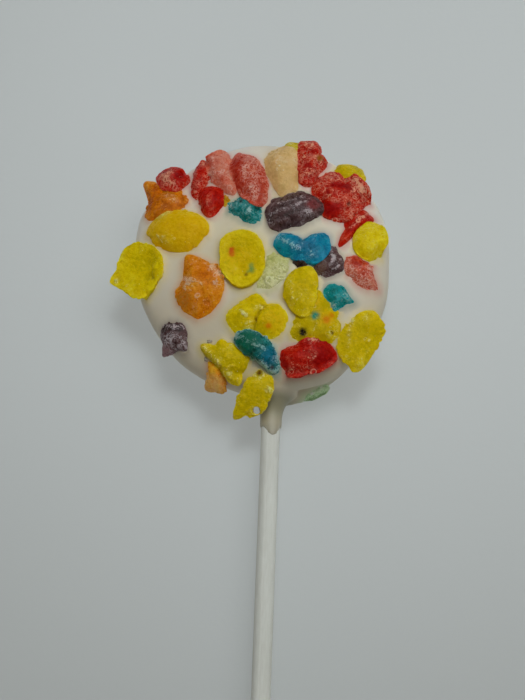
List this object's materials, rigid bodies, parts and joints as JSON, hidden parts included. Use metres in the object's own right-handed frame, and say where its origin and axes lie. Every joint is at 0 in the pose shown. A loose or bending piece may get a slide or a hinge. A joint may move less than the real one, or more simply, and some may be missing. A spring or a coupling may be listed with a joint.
{
  "type": "cake pop",
  "caption": "Flattened cake pop with a smooth white coat, scattered sugary cereal flakes in mixed colours and a straight paper stick, lying on its flat back.",
  "frame": {"origin": "middle of the head's flat back, on the surface that the cake pop lies on", "axes": "+Z out of the face with the flakes, +Y along the stick from its free end towards the head, +X to the right when seen from above"},
  "size_m": [0.052, 0.1741, 0.0176],
  "materials": {
    "coat": "smooth off-white sweet coat with a soft gloss, set with rough sugary flakes in yellow, orange, red, pink, purple, blue and teal",
    "paper": "matt white rolled paper"
  },
  "bodies": {
    "root": {"coated_head": "coat", "paper_stick": "paper"}
  },
  "joints": []
}
